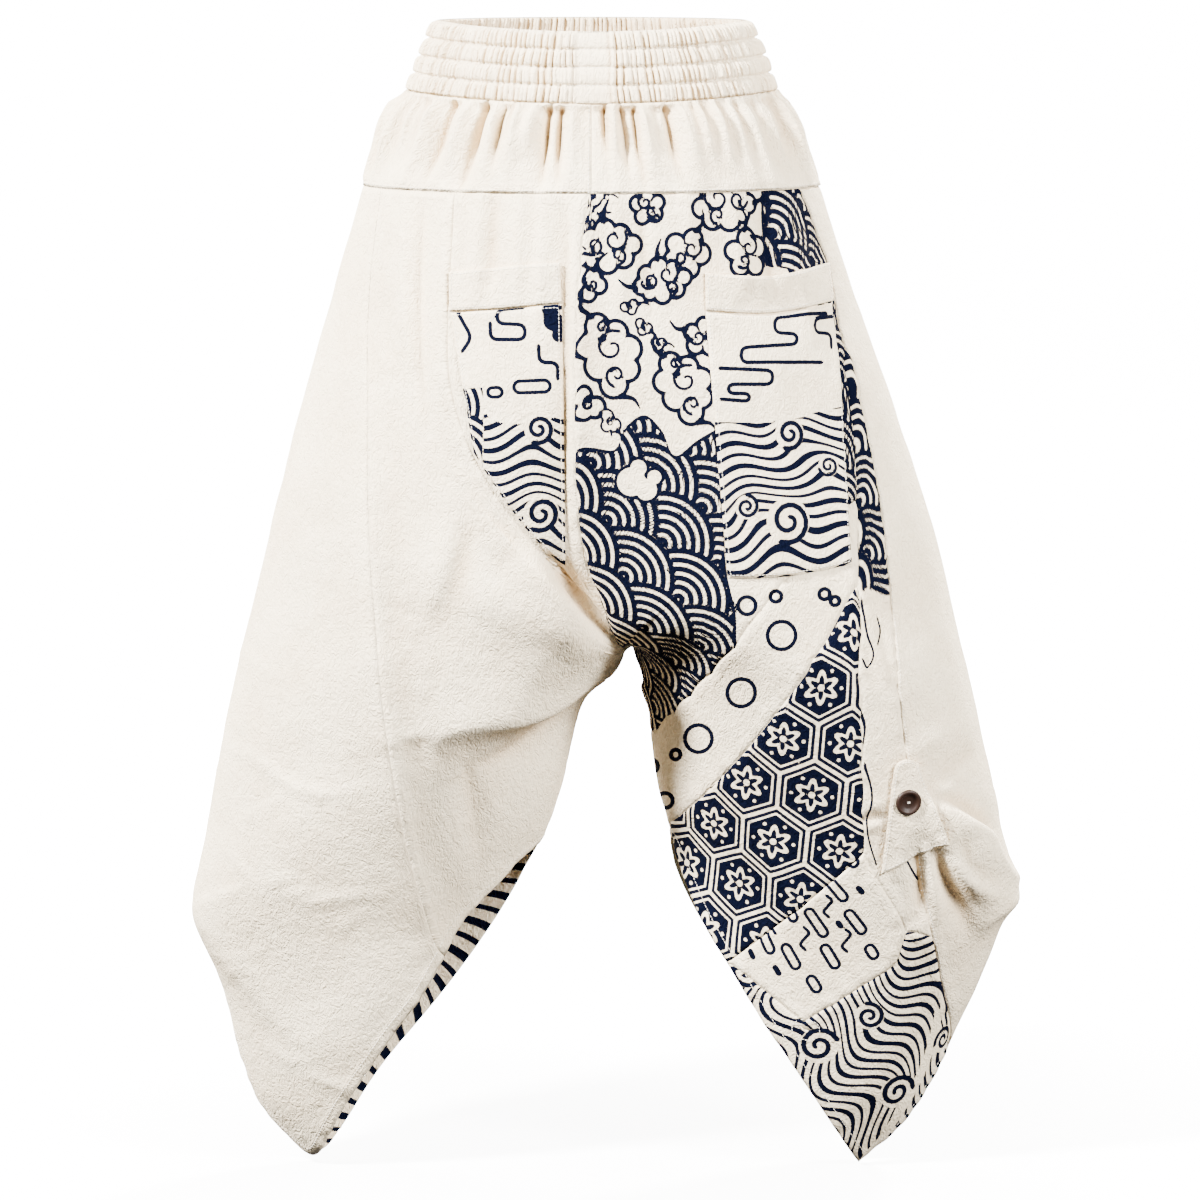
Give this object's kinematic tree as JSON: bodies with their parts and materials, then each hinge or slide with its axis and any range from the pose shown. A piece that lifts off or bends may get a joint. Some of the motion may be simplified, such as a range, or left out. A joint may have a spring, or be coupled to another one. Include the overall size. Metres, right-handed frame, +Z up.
{
  "type": "harem pants",
  "caption": "Loose cotton harem pants with a gathered elastic waistband, pleated yoke, patch pockets, patchwork legs with slanted hems and a buttoned tab.",
  "frame": {"origin": "centre of the waistband ring at half its height, where the wearer's waist holds the pants", "axes": "+Z up towards the waist, -Y the front, +X the wearer's left side"},
  "size_m": [0.716, 0.3067, 0.9909],
  "materials": {
    "cream_cotton": "plain weave, washed, matt",
    "printed_cotton": "plain weave printed in dark navy on cream, matt",
    "dark_wood": "turned, dark stained, satin"
  },
  "bodies": {
    "root": {"waistband": "cream_cotton", "yoke_front_right": "cream_cotton", "yoke_front_left": "cream_cotton", "yoke_back": "cream_cotton", "right_front_inset": "cream_cotton", "right_leg_front": "cream_cotton", "right_side_panel": "cream_cotton", "right_leg_back": "printed_cotton", "left_front_top": "printed_cotton", "left_bubble_band": "printed_cotton", "left_dark_band": "printed_cotton", "left_mist_patch": "printed_cotton", "left_hem_waves": "printed_cotton", "left_side_strip": "printed_cotton", "left_side_panel": "cream_cotton", "left_leg_back": "cream_cotton", "right_pocket_band": "cream_cotton", "right_pocket_body": "printed_cotton", "left_pocket_band": "cream_cotton", "left_pocket_body": "printed_cotton", "left_tab": "cream_cotton", "button": "dark_wood"}
  },
  "joints": []
}
